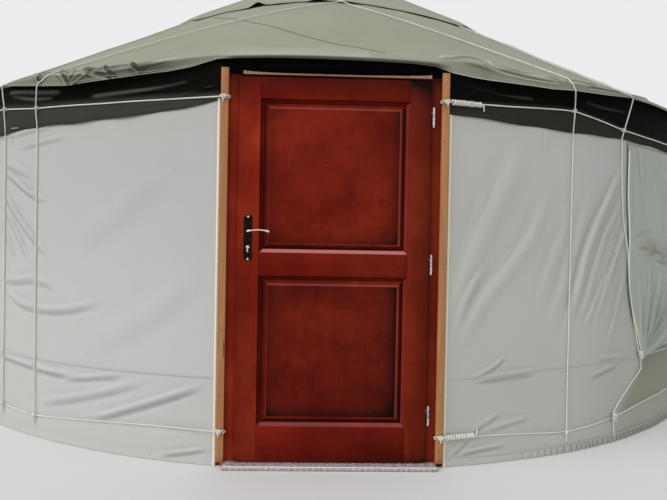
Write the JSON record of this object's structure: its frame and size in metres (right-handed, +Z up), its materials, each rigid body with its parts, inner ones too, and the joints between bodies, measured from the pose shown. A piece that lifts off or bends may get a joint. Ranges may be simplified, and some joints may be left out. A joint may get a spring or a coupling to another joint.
{
  "type": "yurt",
  "caption": "Round canvas tent dwelling on a timber lattice wall, with a conical pole roof, a crown cap, holding ropes and a hinged panelled door.",
  "frame": {"origin": "centre of the wall's circle at ground level", "axes": "+Z up, the door faces -Y, +X to the right of someone who looks at the door"},
  "size_m": [6.1204, 6.1, 3.5249],
  "materials": {
    "wall_canvas": "matt canvas, off-white, lightly soiled",
    "skirt_canvas": "matt dark olive canvas",
    "roof_canvas": "matt grey-green canvas",
    "rope": "laid off-white rope",
    "lattice_wood": "planed slats, clear oiled",
    "pole_wood": "round poles, clear oiled",
    "stained_wood": "red-brown stain, satin varnish",
    "pine": "pine strip, lightly varnished",
    "threshold_metal": "chequer plate, worn",
    "hinge_metal": "painted over, worn",
    "black_iron": "black, satin",
    "lever_metal": "brushed"
  },
  "bodies": {
    "root": {"jambs": "stained_wood", "lintel": "stained_wood", "sill": "stained_wood", "threshold_plate": "threshold_metal", "jamb_strips": "pine", "head_lath": "pine", "head_flap": "skirt_canvas", "hinge_frame_halves": "hinge_metal", "wall_front_left": "wall_canvas", "wall_front_right": "wall_canvas", "wall_side_left": "wall_canvas", "wall_side_right": "wall_canvas", "wall_back_left": "wall_canvas", "wall_back_right": "wall_canvas", "wall_flap": "wall_canvas", "skirt_left": "skirt_canvas", "skirt_right": "skirt_canvas", "roof_left": "roof_canvas", "roof_right": "roof_canvas", "crown_cap": "roof_canvas", "crown_ring": "pole_wood", "crown_spokes": "pole_wood", "roof_poles_left": "pole_wood", "roof_poles_right": "pole_wood", "lattice_front_left": "lattice_wood", "lattice_side_left": "lattice_wood", "lattice_rear_left": "lattice_wood", "lattice_back_left": "lattice_wood", "lattice_back_right": "lattice_wood", "lattice_rear_right": "lattice_wood", "lattice_side_right": "lattice_wood", "lattice_front_right": "lattice_wood", "girth_rope_upper": "rope", "girth_rope_lower": "rope", "rope_lashings": "rope", "roof_rope_left": "rope", "roof_rope_right": "rope", "cap_ropes": "rope"},
    "door": {"door_stiles": "stained_wood", "door_rails": "stained_wood", "door_panels": "stained_wood", "hinge_leaf_halves": "hinge_metal", "lock_plates": "black_iron", "lock_cylinder": "lever_metal"},
    "lever": {"door_lever": "lever_metal"}
  },
  "joints": [
    {"name": "door_swing", "type": "hinge", "parent": "root", "child": "door", "pos_m": [0.4465, -2.97059, 0.9], "axis": [0, 0, 1], "range_deg": [0, 150]},
    {"name": "lever_turn", "type": "hinge", "parent": "door", "child": "lever", "pos_m": [-0.388, -2.97559, 1.075], "axis": [0, 1, 0], "range_deg": [0, 40], "stiffness_Nm_per_rad": 1.5, "springref_deg": -28.65}
  ]
}
